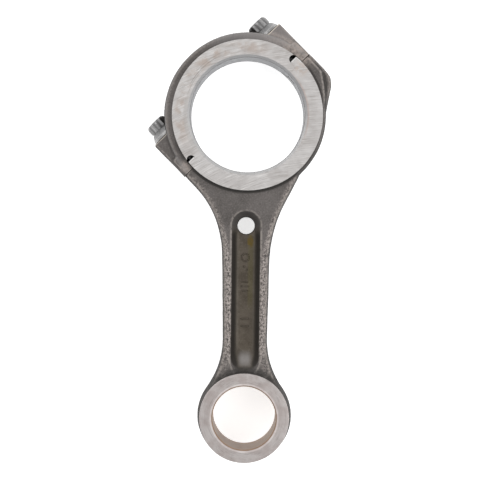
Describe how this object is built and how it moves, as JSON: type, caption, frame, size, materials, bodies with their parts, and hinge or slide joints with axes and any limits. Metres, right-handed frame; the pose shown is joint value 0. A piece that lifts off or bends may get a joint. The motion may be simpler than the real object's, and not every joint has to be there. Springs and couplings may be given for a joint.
{
  "type": "connecting rod",
  "caption": "Forged connecting rod with an I-beam shank, an obliquely split big end whose cap is located by tongues and held by flanged screws, and a bushed small end.",
  "frame": {"origin": "centre of the big-end bore, half way through its width", "axes": "+Z along both bores, +Y from the small end to the big end, +X to the side with the rod's shoulder"},
  "size_m": [0.1315, 0.3196, 0.039],
  "materials": {
    "rod_steel": "dark forged scale with ground faces",
    "cap_steel": "dark forged scale with ground faces",
    "bush_bronze": "fine bored",
    "screw_steel": "dull phosphate grey"
  },
  "bodies": {
    "rod": {"rod_forging": "rod_steel", "small_end_bush": "bush_bronze"},
    "cap": {"big_end_cap": "cap_steel"},
    "screw_near": {"cap_screw_near": "screw_steel"},
    "screw_far": {"cap_screw_far": "screw_steel"}
  },
  "joints": [
    {"name": "cap_lift", "type": "slide", "parent": "rod", "child": "cap", "axis": [-0.7071, 0.7071, 0], "range_m": [0, 0.024]},
    {"name": "screw_near_turn", "type": "hinge", "parent": "cap", "child": "screw_near", "pos_m": [-0.05756, -0.01372, 0], "axis": [-0.7071, 0.7071, 0], "range_deg": [0, 5760]},
    {"name": "screw_far_turn", "type": "hinge", "parent": "cap", "child": "screw_far", "pos_m": [0.01372, 0.05756, 0], "axis": [-0.7071, 0.7071, 0], "range_deg": [0, 5760]}
  ],
  "couplings": [
    {"joint": "screw_near_turn", "follows": "cap_lift", "rad_per_m": 4188.7},
    {"joint": "screw_far_turn", "follows": "cap_lift", "rad_per_m": 4188.7}
  ]
}
